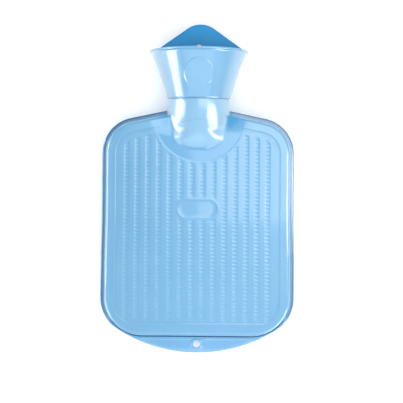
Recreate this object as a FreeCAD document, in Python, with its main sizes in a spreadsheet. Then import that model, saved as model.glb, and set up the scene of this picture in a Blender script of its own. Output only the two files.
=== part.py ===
import FreeCAD, Part
import math
import os

import PartDesign
import Sketcher

# Hot water bottle, lying on its back. Millimetres.
#
# Every piece is drawn in the bottle's own frame: Y runs up the neck's axis,
# X runs across, Z stands out of the front, and the moulding's seam lies in
# Z = 0. The finished pieces are then laid down together: the bottle rests on
# the back of its funnel's rim and on the lower edge of its back, so its axis
# rises a few degrees from the surface Z = 0.

V = FreeCAD.Vector
os.makedirs("parts", exist_ok=True)
doc = FreeCAD.newDocument("hot_water_bottle")

# ---------------------------------------------------------------- the sizes

SIZES = [
    # flange outline, which is also the outline seen from the front
    ("side_x", 75.4, "half width over the seam flange"),
    ("shoulder_r", 28.0, "shoulder corner radius"),
    ("shoulder_y", 27.3, "height of the shoulder corner's centre"),
    ("shoulder_slope", 11.6, "fall of the shoulders, degrees"),
    ("neck_join_x", 16.0, "where the shoulders end inside the neck"),
    ("heel_r", 28.0, "lower corner radius of the flange"),
    ("heel_y", -86.2, "height of the lower corner's centre"),
    ("tab_low_y", -127.84, "lowest point of the hanging tab"),
    ("flange_width", 3.2, "seam flange beyond the bladder's wall"),
    ("flange_thick", 2.4, "seam flange and tab, front to back"),
    # bladder
    ("bladder_low_y", -114.6, "lower edge of the bladder"),
    ("bladder_heel_r", 30.0, "lower corner radius of the bladder"),
    ("bladder_half", 17.5, "half thickness of the bladder"),
    ("bladder_draft", 10.0, "draft of the bladder's sides, degrees"),
    ("bladder_edge_r", 8.0, "rounding of the bladder's edges"),
    ("wall", 2.0, "wall of the bladder"),
    # hanging hole
    ("hang_y", -121.2, "height of the hanging hole"),
    ("hang_r", 2.73, "radius of the hanging hole"),
    ("hang_ring_r", 4.6, "radius of the ring around the hole"),
    ("hang_ring_thick", 3.4, "thickness of the ring"),
    # neck and funnel, outside
    ("neck_r", 24.6, "neck, outside radius"),
    ("tongue_y", 46.0, "centre of the neck's round end in the bladder"),
    ("step_y", 70.2, "line around the neck"),
    ("step_deep", 0.5, "depth of that line"),
    ("cone_low_r", 25.3, "funnel, radius at its foot"),
    ("cone_low_y", 71.9, "funnel, foot"),
    ("cone_top_r", 36.75, "funnel, radius under its lip"),
    ("cone_top_y", 104.0, "funnel, under its lip"),
    ("lip_r", 37.9, "lip, radius of the bead's centre"),
    ("lip_y", 106.1, "lip, height of the bead's centre"),
    ("bead_r", 0.94, "lip, radius of the bead"),
    ("lip_in_r", 35.9, "lip, inner edge"),
    # neck and funnel, inside
    ("cone_in_top_r", 34.42, "funnel inside, under the lip"),
    ("cone_in_low_r", 22.95, "funnel inside, foot"),
    ("tongue_in_r", 22.2, "neck's round end, inside radius"),
    # threaded insert
    ("insert_r", 20.6, "insert, outside radius"),
    ("insert_rib_r", 21.4, "insert, radius over its two ribs"),
    ("insert_low_y", 52.0, "insert, lower end"),
    ("insert_top_y", 69.0, "insert, upper end, the washer's seat"),
    ("rib_one_y", 55.0, "insert, lower rib"),
    ("rib_two_y", 63.0, "insert, upper rib"),
    ("rib_high", 2.5, "height of a rib"),
    ("bore_r", 15.2, "insert, bore over the thread's crests"),
    ("groove_r", 16.8, "insert, thread root"),
    # stopper
    ("core_r", 14.9, "plug, radius under the thread"),
    ("ridge_r", 16.5, "plug, thread crest"),
    ("plug_low_y", 53.0, "plug, lower end"),
    ("plug_hollow_r", 11.5, "plug, hollow"),
    ("plug_hollow_y", 69.4, "plug, end of the hollow"),
    ("lead", 4.0, "thread lead"),
    ("ridge_low_y", 57.5, "plug, lowest turn of the thread"),
    ("ridge_turns", 2.1, "plug, turns of thread"),
    ("ridge_root_half", 1.15, "thread ridge, half height at the core"),
    ("ridge_crest_half", 0.55, "thread ridge, half height at the crest"),
    ("disc_r", 20.0, "stopper, clamping disc"),
    ("disc_low_y", 71.6, "stopper, underside of the disc"),
    ("disc_top_y", 74.6, "stopper, top of the disc"),
    # wing grip
    ("wing_thick", 5.4, "grip, thickness"),
    ("wing_shift", 1.2, "grip, its outline stands off the axis"),
    ("wing_cap_r", 18.0, "grip, radius of its rounded top"),
    ("wing_top_y", 127.84, "grip, top"),
    ("wing_tip_x", 30.6, "grip, half width to the centre of its tip"),
    ("wing_tip_y", 107.4, "grip, height of the centre of its tip"),
    ("wing_tip_r", 2.3, "grip, radius of its tip"),
    ("wing_foot_x", 17.0, "grip, half width at its foot"),
    ("wing_foot_y", 73.4, "grip, its foot, inside the disc"),
    ("wing_edge_r", 1.8, "grip, rounding of its edges"),
    ("grip_hole_y", 110.0, "grip, height of its hole"),
    ("grip_hole_r", 2.75, "grip, radius of its hole"),
    ("mark_y", 116.6, "grip, height of the middle of its moulded mark"),
    ("mark_half_x", 0.4, "grip, half width of that mark"),
    ("mark_half_y", 2.2, "grip, half length of that mark"),
    ("mark_thick", 6.1, "grip, thickness over that mark"),
    # washer
    ("washer_in_r", 15.2, "washer, inside radius"),
    ("washer_out_r", 19.8, "washer, outside radius"),
]

sheet = doc.addObject("Spreadsheet::Sheet", "Sizes")
VALUE = {}
for row, (alias, number, note) in enumerate(SIZES, start=1):
    sheet.set("A%d" % row, alias)
    sheet.set("B%d" % row, "%g" % number)
    sheet.set("C%d" % row, note)
    sheet.setAlias("B%d" % row, alias)
    VALUE[alias] = float(number)
doc.recompute()


class Size:
    """A length with the formula that gives it."""

    def __init__(self, value, text):
        self.value = value
        self.text = text

    def __add__(self, other):
        other = size(other)
        return Size(self.value + other.value, "(%s + %s)" % (self.text, other.text))

    def __sub__(self, other):
        other = size(other)
        return Size(self.value - other.value, "(%s - %s)" % (self.text, other.text))

    def __mul__(self, other):
        other = size(other)
        return Size(self.value * other.value, "(%s * %s)" % (self.text, other.text))

    def __truediv__(self, other):
        other = size(other)
        return Size(self.value / other.value, "(%s / %s)" % (self.text, other.text))

    def __neg__(self):
        return Size(-self.value, "(0 - %s)" % self.text)


def size(item):
    if isinstance(item, Size):
        return item
    if isinstance(item, str):
        return Size(VALUE[item], "Sizes.%s" % item)
    return Size(float(item), "%.6g" % item)


def root(item):
    return Size(math.sqrt(item.value), "sqrt(%s)" % item.text)


def sine(item):
    return Size(math.sin(math.radians(item.value)), "sin(%s)" % item.text)


def cosine(item):
    return Size(math.cos(math.radians(item.value)), "cos(%s)" % item.text)


def tangent(item):
    return Size(math.tan(math.radians(item.value)), "tan(%s)" % item.text)


def angle_of(rise, run):
    """Angle whose tangent is rise over run, in degrees."""
    ratio = rise / run
    return Size(math.degrees(math.atan(ratio.value)), "atan(%s)" % ratio.text)


def angle_with_sine(item):
    return Size(math.degrees(math.asin(item.value)), "asin(%s)" % item.text)


# ---------------------------------------------------------- closed outlines

def sketch_on(body, name, outline):
    """Closed outline on the body's own XY plane.

    Each entry is (x, y, kind, radius, turn): the segment that leaves the
    point (x, y). kind is "line" or "arc"; turn is +1 for an arc that runs
    anticlockwise and -1 for one that runs clockwise.
    """
    sk = body.newObject("Sketcher::SketchObject", name)
    plane = next(f for f in body.Origin.OriginFeatures if f.Role == "XY_Plane")
    sk.AttachmentSupport = (plane, [""])
    sk.MapMode = "FlatFace"
    pts = [(size(e[0]), size(e[1])) for e in outline]
    count = len(outline)
    first = []
    last = []
    for i, entry in enumerate(outline):
        p = V(pts[i][0].value, pts[i][1].value, 0)
        nxt = pts[(i + 1) % count]
        q = V(nxt[0].value, nxt[1].value, 0)
        if entry[2] == "line":
            geo = sk.addGeometry(Part.LineSegment(p, q), False)
            first.append((geo, 1))
            last.append((geo, 2))
        else:
            radius = size(entry[3]).value
            turn = entry[4]
            mid = (p + q) * 0.5
            half = (q - p) * 0.5
            reach = math.sqrt(max(radius * radius - half.Length ** 2, 0.0))
            side = V(-half.y, half.x, 0)
            side.normalize()
            centre = mid + side * (reach * turn)
            a = p if turn > 0 else q
            b = q if turn > 0 else p
            start = math.atan2(a.y - centre.y, a.x - centre.x)
            end = math.atan2(b.y - centre.y, b.x - centre.x)
            circle = Part.Circle(centre, V(0, 0, 1), radius)
            geo = sk.addGeometry(Part.ArcOfCircle(circle, start, end), False)
            first.append((geo, 1 if turn > 0 else 2))
            last.append((geo, 2 if turn > 0 else 1))
    for i in range(count):
        a = last[i]
        b = first[(i + 1) % count]
        sk.addConstraint(Sketcher.Constraint("Coincident", a[0], a[1], b[0], b[1]))
    for i, entry in enumerate(outline):
        geo, pos = first[i]
        for axis, item, line in (("DistanceX", pts[i][0], -2), ("DistanceY", pts[i][1], -1)):
            if abs(item.value) < 1e-9:
                sk.addConstraint(Sketcher.Constraint("PointOnObject", geo, pos, line))
            else:
                at = sk.addConstraint(Sketcher.Constraint(axis, -1, 1, geo, pos, item.value))
                sk.setExpression("Constraints[%d]" % at, item.text)
        if entry[2] == "arc":
            radius = size(entry[3])
            at = sk.addConstraint(Sketcher.Constraint("Radius", geo, radius.value))
            sk.setExpression("Constraints[%d]" % at, radius.text)
    return sk


def new_body(name):
    body = doc.addObject("PartDesign::Body", name)
    body.Label = name
    return body


def revolve(body, name, outline):
    sk = sketch_on(body, name + "_profile", outline)
    turned = body.newObject("PartDesign::Revolution", name)
    turned.Profile = sk
    turned.ReferenceAxis = (sk, ["V_Axis"])
    turned.Angle = 360.0
    return turned


def thread(body, kind, name, profile, turns):
    """Right-handed ridge or groove that climbs up the Y axis."""
    run = body.newObject(kind, name)
    run.Profile = profile
    run.ReferenceAxis = (profile, ["V_Axis"])
    run.Mode = "pitch-turns-angle"
    run.HasBeenEdited = True
    run.LeftHanded = False
    run.Reversed = False
    run.Angle = 0.0
    run.setExpression("Pitch", "Sizes.lead")
    run.setExpression("Turns", size(turns).text)
    return run


def pad_both_ways(body, name, outline, half, draft=None):
    sk = sketch_on(body, name + "_outline", outline)
    pad = body.newObject("PartDesign::Pad", name)
    pad.Profile = sk
    pad.SideType = "Two sides"
    pad.setExpression("Length", size(half).text)
    pad.setExpression("Length2", size(half).text)
    if draft is not None:
        pad.setExpression("TaperAngle", (-size(draft)).text)
        pad.setExpression("TaperAngle2", (-size(draft)).text)
    return pad


# ------------------------------------------------------- outlines, by inset

def half_outline(inset):
    """Right half of the bladder's or flange's upper outline, to the side."""
    radius = size("shoulder_r") - inset
    cx = size("side_x") - size("shoulder_r")
    slope = size("shoulder_slope")
    px = cx + radius * sine(slope)
    py = size("shoulder_y") + radius * cosine(slope)
    ny = py + (px - size("neck_join_x")) * tangent(slope)
    return radius, px, py, ny


def bladder_outline(extra):
    """Closed outline of the bladder's wall, `extra` inside its outer face."""
    extra = size(extra)
    inset = size("flange_width") + extra
    radius, px, py, ny = half_outline(inset)
    heel = size("bladder_heel_r") - extra
    sx = size("side_x") - inset
    hy = size("bladder_low_y") + size("bladder_heel_r")
    bx = size("side_x") - size("flange_width") - size("bladder_heel_r")
    by = size("bladder_low_y") + extra
    nx = size("neck_join_x")
    top = size("shoulder_y")
    return [
        (nx, ny, "line"),
        (px, py, "arc", radius, -1),
        (sx, top, "line"),
        (sx, hy, "arc", heel, -1),
        (bx, by, "line"),
        (-bx, by, "arc", heel, -1),
        (-sx, hy, "line"),
        (-sx, top, "arc", radius, -1),
        (-px, py, "line"),
        (-nx, ny, "line"),
    ]


def flange_outline():
    """Closed outline of the seam flange, with the crescent of the tab."""
    radius, px, py, ny = half_outline(size(0.0))
    sx = size("side_x")
    nx = size("neck_join_x")
    top = size("shoulder_y")
    heel = size("heel_r")
    kx = sx - heel
    ky = size("heel_y")
    rise = ky - size("tab_low_y")
    sweep = (kx * kx + rise * rise - heel * heel) / ((rise - heel) * size(2.0))
    cy = size("tab_low_y") + sweep
    reach = sweep / (sweep - heel)
    tx = kx * reach
    ty = cy + (ky - cy) * reach
    return [
        (nx, ny, "line"),
        (px, py, "arc", radius, -1),
        (sx, top, "line"),
        (sx, ky, "arc", heel, -1),
        (tx, ty, "arc", sweep, -1),
        (-tx, ty, "arc", heel, -1),
        (-sx, ky, "line"),
        (-sx, top, "arc", radius, -1),
        (-px, py, "line"),
        (-nx, ny, "line"),
    ]


def face_edges(shape, height, top=-1e9, low=-1e9):
    """Names of the edges in the planes Z = +height and -height.

    An edge counts only if it reaches above `top` and stays above `low`.
    """
    names = []
    for i, edge in enumerate(shape.Edges, start=1):
        box = edge.BoundBox
        if box.ZMax - box.ZMin < 1e-4 and abs(abs(box.ZMax) - height) < 1e-4:
            if box.YMax > top and box.YMin > low:
                names.append("Edge%d" % i)
    return names


# ------------------------------------------------- the bottle, one moulding

outer_bladder = new_body("bladder_outside")
pad = pad_both_ways(outer_bladder, "bladder_block", bladder_outline(0.0),
                    "bladder_half", "bladder_draft")
doc.recompute()
edges = face_edges(pad.Shape, VALUE["bladder_half"])
soft = outer_bladder.newObject("PartDesign::Fillet", "bladder_rounding")
soft.Base = (pad, edges)
soft.setExpression("Radius", "Sizes.bladder_edge_r")
outer_bladder.Tip = soft

inner_bladder = new_body("bladder_inside")
pad_in = pad_both_ways(inner_bladder, "hollow_block", bladder_outline(size("wall")),
                       size("bladder_half") - size("wall"), "bladder_draft")
doc.recompute()
edges_in = face_edges(pad_in.Shape, VALUE["bladder_half"] - VALUE["wall"])
soft_in = inner_bladder.newObject("PartDesign::Fillet", "hollow_rounding")
soft_in.Base = (pad_in, edges_in)
soft_in.setExpression("Radius", "Sizes.bladder_edge_r - Sizes.wall")
inner_bladder.Tip = soft_in

flange = new_body("seam_flange")
pad_both_ways(flange, "flange_plate", flange_outline(), size("flange_thick") / 2.0)

# Outside of the neck and funnel: a round end inside the bladder, a straight
# neck, the line around it, the flared cone and the beaded lip.
bead_low_x = size("lip_r") + size("bead_r") * size(math.cos(math.radians(50)))
bead_low_y = size("lip_y") - size("bead_r") * size(math.sin(math.radians(50)))
lip_top_y = size("lip_y") + size("bead_r")
neck_out = new_body("neck_outside")
revolve(neck_out, "neck_solid", [
    (0.0, size("tongue_y") - size("neck_r"), "arc", "neck_r", 1),
    ("neck_r", "tongue_y", "line"),
    ("neck_r", "step_y", "line"),
    (size("neck_r") - size("step_deep"), size("step_y") + size("step_deep"), "line"),
    (size("neck_r") - size("step_deep"), size("step_y") + size("step_deep") * 2.2, "line"),
    ("cone_low_r", "cone_low_y", "line"),
    ("cone_top_r", "cone_top_y", "line"),
    (bead_low_x, bead_low_y, "arc", "bead_r", 1),
    ("lip_r", lip_top_y, "line"),
    (0.0, lip_top_y, "line"),
])

# Inside of the neck and funnel: the round end, the insert's seat with a
# recess for each of its ribs, and the cone.
seat_low_x = root(size("tongue_in_r") * size("tongue_in_r")
                  - (size("insert_low_y") - size("tongue_y"))
                  * (size("insert_low_y") - size("tongue_y")))
neck_in = new_body("neck_inside")
revolve(neck_in, "neck_hollow", [
    (0.0, size("tongue_y") - size("tongue_in_r"), "arc", "tongue_in_r", 1),
    (seat_low_x, "insert_low_y", "line"),
    ("insert_r", "insert_low_y", "line"),
    ("insert_r", "rib_one_y", "line"),
    ("insert_rib_r", "rib_one_y", "line"),
    ("insert_rib_r", size("rib_one_y") + size("rib_high"), "line"),
    ("insert_r", size("rib_one_y") + size("rib_high"), "line"),
    ("insert_r", "rib_two_y", "line"),
    ("insert_rib_r", "rib_two_y", "line"),
    ("insert_rib_r", size("rib_two_y") + size("rib_high"), "line"),
    ("insert_r", size("rib_two_y") + size("rib_high"), "line"),
    ("insert_r", "insert_top_y", "line"),
    ("cone_in_low_r", "cone_low_y", "line"),
    ("cone_in_top_r", "cone_top_y", "line"),
    ("lip_in_r", lip_top_y, "line"),
    ("lip_in_r", lip_top_y + 3.0, "line"),
    (0.0, lip_top_y + 3.0, "line"),
])


def disc(name, radius, length):
    """Cylinder across the tab at the hanging hole, centred on the seam."""
    item = doc.addObject("Part::Cylinder", name)
    item.Label = name
    item.setExpression("Radius", size(radius).text)
    item.setExpression("Height", size(length).text)
    item.setExpression("Placement.Base.y", size("hang_y").text)
    item.setExpression("Placement.Base.z", (-size(length) / 2.0).text)
    return item


ring = disc("hang_ring", "hang_ring_r", "hang_ring_thick")
hole = disc("hang_hole", "hang_r", size("hang_ring_thick") + 2.0)

outside = doc.addObject("Part::MultiFuse", "bottle_outside")
outside.Shapes = [outer_bladder, flange, neck_out, ring]
inside = doc.addObject("Part::MultiFuse", "bottle_inside")
inside.Shapes = [inner_bladder, neck_in, hole]
bottle = doc.addObject("Part::Cut", "bottle")
bottle.Label = "bottle"
bottle.Base = outside
bottle.Tool = inside

# --------------------------------------------------------- threaded insert

insert = new_body("neck_insert")
revolve(insert, "insert_sleeve", [
    ("bore_r", size("insert_low_y") + 1.0, "line"),
    (size("bore_r") + 1.0, "insert_low_y", "line"),
    ("insert_r", "insert_low_y", "line"),
    ("insert_r", "rib_one_y", "line"),
    ("insert_rib_r", "rib_one_y", "line"),
    ("insert_rib_r", size("rib_one_y") + size("rib_high"), "line"),
    ("insert_r", size("rib_one_y") + size("rib_high"), "line"),
    ("insert_r", "rib_two_y", "line"),
    ("insert_rib_r", "rib_two_y", "line"),
    ("insert_rib_r", size("rib_two_y") + size("rib_high"), "line"),
    ("insert_r", size("rib_two_y") + size("rib_high"), "line"),
    ("insert_r", "insert_top_y", "line"),
    (size("bore_r") + 1.0, "insert_top_y", "line"),
    ("bore_r", size("insert_top_y") - 1.0, "line"),
])
slope_back = (size("ridge_root_half") - size("ridge_crest_half")) / (size("ridge_r") - size("core_r"))
# Groove flanks stand 0.3 off the ridge's flanks, measured along the axis.
gap = 0.3


def groove_half(radius):
    return size("ridge_root_half") + gap - slope_back * (radius - size("core_r"))


g_in = size("bore_r") - 0.6
g_out = size("groove_r")
# The groove starts one lead below the lowest turn of the ridge and runs out
# through the insert's upper end.
groove_y = size("ridge_low_y") - size("lead")
groove_sk = sketch_on(insert, "groove_profile", [
    (g_in, groove_y - groove_half(g_in), "line"),
    (g_out, groove_y - groove_half(g_out), "line"),
    (g_out, groove_y + groove_half(g_out), "line"),
    (g_in, groove_y + groove_half(g_in), "line"),
])

doc.recompute()
before = insert.Shape.Volume
groove = thread(insert, "PartDesign::SubtractiveHelix", "thread_groove", groove_sk,
                (size("insert_top_y") - groove_y) / size("lead") + 0.6)
doc.recompute()
print("groove removes", round(before - insert.Shape.Volume, 1))

# ----------------------------------------------------------------- stopper

stopper = new_body("stopper")
revolve(stopper, "plug_and_disc", [
    (0.0, "plug_hollow_y", "line"),
    ("plug_hollow_r", "plug_hollow_y", "line"),
    ("plug_hollow_r", "plug_low_y", "line"),
    (size("core_r") - 1.0, "plug_low_y", "line"),
    ("core_r", size("plug_low_y") + 1.0, "line"),
    ("core_r", "disc_low_y", "line"),
    ("disc_r", "disc_low_y", "line"),
    ("disc_r", size("disc_top_y") - 0.8, "line"),
    (size("disc_r") - 0.8, "disc_top_y", "line"),
    (0.0, "disc_top_y", "line"),
])
doc.recompute()

ridge_sk = sketch_on(stopper, "ridge_profile", [
    (size("core_r") - 0.5, size("ridge_low_y") - size("ridge_root_half") - slope_back * 0.5, "line"),
    ("ridge_r", size("ridge_low_y") - size("ridge_crest_half"), "line"),
    ("ridge_r", size("ridge_low_y") + size("ridge_crest_half"), "line"),
    (size("core_r") - 0.5, size("ridge_low_y") + size("ridge_root_half") + slope_back * 0.5, "line"),
])
doc.recompute()
before = stopper.Shape.Volume
ridge = thread(stopper, "PartDesign::AdditiveHelix", "thread_ridge", ridge_sk, "ridge_turns")
doc.recompute()
print("ridge adds", round(stopper.Shape.Volume - before, 1))

# The grip's outline: a rounded cap, two straight flanks that touch the cap
# and the tips, and two flanks from the tips down to the disc.
shift = size("wing_shift")
cap_r = size("wing_cap_r")
cap_y = size("wing_top_y") - cap_r
tip_x = size("wing_tip_x")
tip_y = size("wing_tip_y")
tip_r = size("wing_tip_r")
foot_x = size("wing_foot_x")
foot_y = size("wing_foot_y")
drop = cap_y - tip_y
span = root(tip_x * tip_x + drop * drop)
upper = angle_of(drop, tip_x) + angle_with_sine((cap_r - tip_r) / span)
fall = tip_y - foot_y
draw = tip_x - foot_x
reach = root(fall * fall + draw * draw)
lower = angle_of(draw, fall) + angle_with_sine(tip_r / reach)
cap_end_x = cap_r * sine(upper)
cap_end_y = cap_y + cap_r * cosine(upper)
over_x = tip_x + tip_r * sine(upper)
over_y = tip_y + tip_r * cosine(upper)
under_x = tip_x + tip_r * cosine(lower)
under_y = tip_y - tip_r * sine(lower)
wing = pad_both_ways(stopper, "wing", [
    (shift - cap_end_x, cap_end_y, "arc", cap_r, -1),
    (shift + cap_end_x, cap_end_y, "line"),
    (shift + over_x, over_y, "arc", tip_r, -1),
    (shift + under_x, under_y, "line"),
    (shift + foot_x, foot_y, "line"),
    (shift - foot_x, foot_y, "line"),
    (shift - under_x, under_y, "arc", tip_r, -1),
    (shift - over_x, over_y, "line"),
], size("wing_thick") / 2.0)
doc.recompute()
half = VALUE["wing_thick"] / 2.0
rounded = stopper.newObject("PartDesign::Fillet", "wing_rounding")
rounded.Base = (wing, face_edges(wing.Shape, half, VALUE["disc_top_y"] + 0.01, VALUE["disc_top_y"] - 0.01))
rounded.setExpression("Radius", "Sizes.wing_edge_r")
doc.recompute()

# A short upright mark stands a little proud of both faces of the grip.
before = stopper.Shape.Volume
mark_x = size("mark_half_x")
mark_low = size("mark_y") - size("mark_half_y")
mark_high = size("mark_y") + size("mark_half_y")
pad_both_ways(stopper, "grip_mark", [
    (shift - mark_x, mark_low, "line"),
    (shift + mark_x, mark_low, "line"),
    (shift + mark_x, mark_high, "line"),
    (shift - mark_x, mark_high, "line"),
], size("mark_thick") / 2.0)
doc.recompute()
print("grip mark adds", round(stopper.Shape.Volume - before, 2))

# The hole through the grip, on the stopper's axis.
hole_sk = stopper.newObject("Sketcher::SketchObject", "grip_hole_outline")
hole_sk.AttachmentSupport = (next(f for f in stopper.Origin.OriginFeatures
                                  if f.Role == "XY_Plane"), [""])
hole_sk.MapMode = "FlatFace"
ring_at = hole_sk.addGeometry(
    Part.Circle(V(0, VALUE["grip_hole_y"], 0), V(0, 0, 1), VALUE["grip_hole_r"]), False)
hole_sk.addConstraint(Sketcher.Constraint("PointOnObject", ring_at, 3, -2))
at = hole_sk.addConstraint(Sketcher.Constraint("DistanceY", -1, 1, ring_at, 3, VALUE["grip_hole_y"]))
hole_sk.setExpression("Constraints[%d]" % at, "Sizes.grip_hole_y")
at = hole_sk.addConstraint(Sketcher.Constraint("Radius", ring_at, VALUE["grip_hole_r"]))
hole_sk.setExpression("Constraints[%d]" % at, "Sizes.grip_hole_r")
doc.recompute()
before = stopper.Shape.Volume
eye = stopper.newObject("PartDesign::Pocket", "grip_hole")
eye.Profile = hole_sk
eye.SideType = "Symmetric"
eye.Type = "ThroughAll"
doc.recompute()
print("grip hole removes", round(before - stopper.Shape.Volume, 1))

# ---------------------------------------------------------- sealing washer

washer = new_body("sealing_washer")
revolve(washer, "washer_ring", [
    ("washer_in_r", "insert_top_y", "line"),
    ("washer_out_r", "insert_top_y", "line"),
    ("washer_out_r", "disc_low_y", "line"),
    ("washer_in_r", "disc_low_y", "line"),
])
doc.recompute()

# ------------------------------------------------------------ laying it down
#
# Seen from the side, the surface is the line that touches the lip's bead
# and the rounded lower edge of the bladder's back from below. Both are
# circles in the plane X = 0.

draft = math.radians(VALUE["bladder_draft"])
edge_r = VALUE["bladder_edge_r"]
# The rounded edge lies between the flat back and the drafted lower side.
low_y = VALUE["bladder_low_y"] + VALUE["bladder_half"] * math.tan(draft)
set_in = edge_r * math.tan((math.pi / 2 - draft) / 2)
heel = V(0, low_y + set_in, -VALUE["bladder_half"] + edge_r)
lip = V(0, VALUE["lip_y"], -VALUE["lip_r"])
reach = lip - heel
lean = (math.atan2(-reach.z, reach.y)
        + math.asin((VALUE["bead_r"] - edge_r) / math.hypot(reach.y, reach.z)))
turn = FreeCAD.Rotation(V(1, 0, 0), math.degrees(lean))
drop = turn.multVec(heel).z - edge_r
length_at = [turn.multVec(V(0, VALUE["tab_low_y"], z)).y
             for z in (-VALUE["flange_thick"] / 2, VALUE["flange_thick"] / 2)]
back = min(length_at)
front = turn.multVec(V(0, cap_y.value, 0)).y + cap_r.value
lay = FreeCAD.Placement(V(0, -(back + front) / 2, -drop), turn)
print("lean %.4f deg, lay %s" % (math.degrees(lean), lay))

NODES = [bottle, insert, stopper, washer]
for item in NODES:
    item.Placement = lay
doc.recompute()

# -------------------------------------------------------------- the result

for item in doc.Objects:
    if "Invalid" in item.State or "Error" in item.State:
        raise SystemExit("not built: %s %s" % (item.Name, item.State))
for item in NODES:
    shape = item.Shape
    if shape.isNull() or not shape.isValid() or len(shape.Solids) != 1:
        raise SystemExit("no good solid: %s" % item.Label)
    print("%-15s %9.1f mm3  %s" % (item.Label, shape.Volume, shape.BoundBox))
for item in NODES:
    item.Shape.exportStep("parts/%s.step" % item.Label)
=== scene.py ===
import math

import bpy
import numpy as np
from mathutils import Matrix, Vector
from mathutils.geometry import delaunay_2d_cdt


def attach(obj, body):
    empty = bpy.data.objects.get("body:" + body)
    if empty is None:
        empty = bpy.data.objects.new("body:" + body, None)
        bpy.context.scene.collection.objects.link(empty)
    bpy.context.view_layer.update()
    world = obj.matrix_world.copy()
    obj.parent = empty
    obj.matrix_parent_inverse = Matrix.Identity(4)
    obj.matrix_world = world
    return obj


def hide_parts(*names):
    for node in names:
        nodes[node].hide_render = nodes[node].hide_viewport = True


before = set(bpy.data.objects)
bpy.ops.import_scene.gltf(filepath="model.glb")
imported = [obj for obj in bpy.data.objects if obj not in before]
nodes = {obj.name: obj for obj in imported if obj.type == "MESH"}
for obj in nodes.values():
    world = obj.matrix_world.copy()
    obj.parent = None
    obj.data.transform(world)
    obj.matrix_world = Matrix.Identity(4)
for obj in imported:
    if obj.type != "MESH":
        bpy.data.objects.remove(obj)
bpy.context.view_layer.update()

# A soft moulded bottle lies on its back. Its shapes are worked out in its own
# frame, in millimetres: Y runs up the neck's axis, X across, Z out of the
# front, and the moulding's seam lies in Z = 0. lay() puts them in the row frame.

LEAN = math.radians(5.76813)
SHIFT = (0.0, 0.0147326, 27.9847)


def lay(points):
    """Points in the bottle's own frame, millimetres, to the row frame, metres."""
    p = np.asarray(points, float)
    c, s = math.cos(LEAN), math.sin(LEAN)
    out = np.empty_like(p)
    out[:, 0] = p[:, 0]
    out[:, 1] = p[:, 1] * c - p[:, 2] * s + SHIFT[1]
    out[:, 2] = p[:, 1] * s + p[:, 2] * c + SHIFT[2]
    return out * 0.001


LAY = Matrix.Translation((0.0, SHIFT[1] * 0.001, SHIFT[2] * 0.001)) @ Matrix.Rotation(LEAN, 4, "X")

# ------------------------------------------------------------ small functions


def smooth(t):
    t = np.clip(t, 0.0, 1.0)
    return t * t * (3.0 - 2.0 * t)


def soft_max(a, b, k):
    """The larger of a and b, with a fillet where they are within k of each other."""
    h = np.clip(k - np.abs(a - b), 0.0, None) / np.maximum(k, 1e-9)
    return np.maximum(a, b) + h * h * k * 0.25


# ----------------------------------------------------------- the two outlines

SIDE = 75.4
EDGE = 3.0                       # seam flange seen beyond the bladder's wall
SLOPE = math.radians(11.6)
C1 = (47.4, 27.3)                # shoulder corner, radius 28 at the flange
C2 = (47.4, -86.2)               # lower corner of the flange, radius 28
C3 = (0.0, -127.84 + 117.181)    # the crescent's long arc
R3 = 117.181
C4 = (SIDE - EDGE - 30.0, -84.6)  # lower corner of the bladder, radius 30
LOW = -114.6
PX = C1[0] + 28.0 * math.sin(SLOPE)
PY = C1[1] + 28.0 * math.cos(SLOPE)
TURN = math.atan2(C2[1] - C3[1], C2[0] - C3[0])
NECK = 24.6
TOP = 62.0                       # above this the neck is a surface of revolution
MEET = PY + (PX - NECK) * math.tan(SLOPE)


def upper_in(x, y, inset):
    """Distance inside the shoulder line, corner and side, `inset` from the flange's edge."""
    ax = np.abs(x)
    out = np.full(np.shape(ax), 100.0)
    along = (PX - ax) * math.cos(SLOPE) + (y - PY) * math.sin(SLOPE)
    line = (PX - ax) * math.sin(SLOPE) + (PY - y) * math.cos(SLOPE) - inset
    out = np.where(along >= -1e-6, np.minimum(out, line), out)
    vx, vy = ax - C1[0], y - C1[1]
    turn = np.arctan2(vy, vx)
    arc = 28.0 - inset - np.hypot(vx, vy)
    out = np.where((turn >= -1e-6) & (turn <= math.pi / 2 - SLOPE + 1e-6), np.minimum(out, arc), out)
    return out


def flange_in(x, y):
    ax = np.abs(x)
    out = upper_in(x, y, 0.0)
    out = np.where((y <= C1[1]) & (y >= C2[1]), np.minimum(out, SIDE - ax), out)
    vx, vy = ax - C2[0], y - C2[1]
    turn = np.arctan2(vy, vx)
    out = np.where((turn <= 1e-6) & (turn >= TURN - 1e-6), np.minimum(out, 28.0 - np.hypot(vx, vy)), out)
    vx, vy = ax, y - C3[1]
    turn = np.arctan2(vy, vx)
    return np.where(turn <= TURN + 1e-6, np.minimum(out, R3 - np.hypot(vx, vy)), out)


def bladder_in(x, y):
    ax = np.abs(x)
    out = upper_in(x, y, EDGE)
    out = np.where((y <= C1[1]) & (y >= C4[1]), np.minimum(out, SIDE - EDGE - ax), out)
    vx, vy = ax - C4[0], y - C4[1]
    turn = np.arctan2(vy, vx)
    out = np.where((turn <= 1e-6) & (turn >= -math.pi / 2 - 1e-6), np.minimum(out, 30.0 - np.hypot(vx, vy)), out)
    return np.where(ax <= C4[0] + 1e-6, np.minimum(out, y - LOW), out)


PANEL_SIDE, PANEL_LOW, PANEL_R = 63.8, -103.7, 15.0


def panel_in(x, y):
    """Distance inside the line that borders the ribbed panel."""
    ax = np.abs(x)
    upper = upper_in(x, y, SIDE - PANEL_SIDE)
    upper = np.where(y <= C1[1] + 1e-6, np.minimum(upper, PANEL_SIDE - ax), upper)
    cx, cy = PANEL_SIDE - PANEL_R, PANEL_LOW + PANEL_R
    lower = np.minimum(PANEL_SIDE - ax, y - PANEL_LOW)
    vx, vy = ax - cx, cy - y
    lower = np.where((vx > 0) & (vy > 0), PANEL_R - np.hypot(vx, vy), lower)
    return np.where(y > -40.0, upper, lower)


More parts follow.
